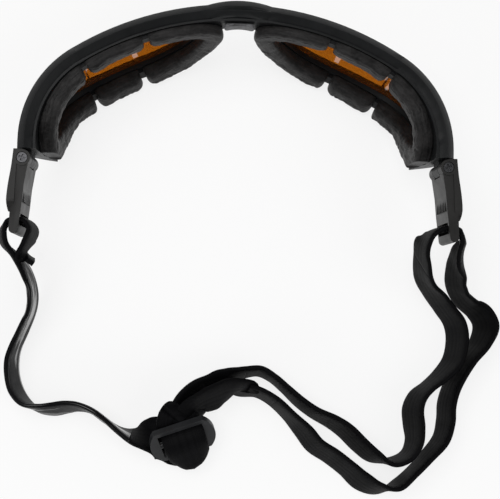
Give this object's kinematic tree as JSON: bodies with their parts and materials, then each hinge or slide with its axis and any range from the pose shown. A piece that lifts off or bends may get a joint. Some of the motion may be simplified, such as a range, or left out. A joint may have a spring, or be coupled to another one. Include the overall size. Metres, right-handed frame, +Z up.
{
  "type": "motorcycle sunglasses",
  "caption": "Padded riding sunglasses with amber lenses, foam gasket, short folding strap arms and an elastic strap with a slider.",
  "frame": {"origin": "under the middle of the whole object, on the surface it lies on", "axes": "+Z up along the height of the frame, +Y out of the front of the lenses, +X towards the side of the right-hand arm as modelled, with the strap laid out behind towards -Y"},
  "size_m": [0.1728, 0.1682, 0.04],
  "materials": {
    "frame_black": "satin injection moulded",
    "lens_amber": "clear amber polycarbonate",
    "nose_rubber": "soft matte",
    "carrier_black": "matte",
    "pad_cover": "soft skinned foam",
    "arm_black": "satin injection moulded",
    "screw_steel": "plain steel",
    "strap_webbing": "knitted elastic webbing",
    "slider_black": "matte injection moulded"
  },
  "bodies": {
    "goggle": {"frame_front": "frame_black", "lens_left": "lens_amber", "lens_right": "lens_amber", "nose_bridge_pad": "nose_rubber", "gasket_carrier_left": "carrier_black", "gasket_carrier_right": "carrier_black", "pad_nose_left": "pad_cover", "pad_nose_right": "pad_cover", "pad_brow_left": "pad_cover", "pad_brow_right": "pad_cover", "pad_temple_left": "pad_cover", "pad_temple_right": "pad_cover", "pad_cheek_left": "pad_cover", "pad_cheek_right": "pad_cover", "strap_run_left": "strap_webbing", "strap_fold": "strap_webbing", "strap_lead": "strap_webbing", "strap_ply_outer": "strap_webbing", "strap_ply_inner": "strap_webbing", "strap_end": "strap_webbing"},
    "left_arm": {"arm_left": "arm_black", "hinge_screw_left": "screw_steel", "strap_loop_left": "strap_webbing"},
    "right_arm": {"arm_right": "arm_black", "hinge_screw_right": "screw_steel", "strap_loop_right": "strap_webbing"},
    "slider": {"strap_slider": "slider_black"}
  },
  "joints": [
    {"name": "left_arm_hinge", "type": "hinge", "parent": "goggle", "child": "left_arm", "pos_m": [-0.0784, 0.02956, 0.0285], "axis": [0, 0, 1], "range_deg": [0, 90], "deforming": ["strap_run_left"]},
    {"name": "right_arm_hinge", "type": "hinge", "parent": "goggle", "child": "right_arm", "pos_m": [0.0624, 0.02956, 0.0285], "axis": [0, 0, -1], "range_deg": [0, 90], "deforming": ["strap_ply_inner", "strap_ply_outer"]},
    {"name": "slider_slide", "type": "slide", "parent": "goggle", "child": "slider", "axis": [-0.2302, 0.6686, 0.7071], "range_m": [0, 0.006], "deforming": ["strap_fold", "strap_lead", "strap_end"]}
  ]
}
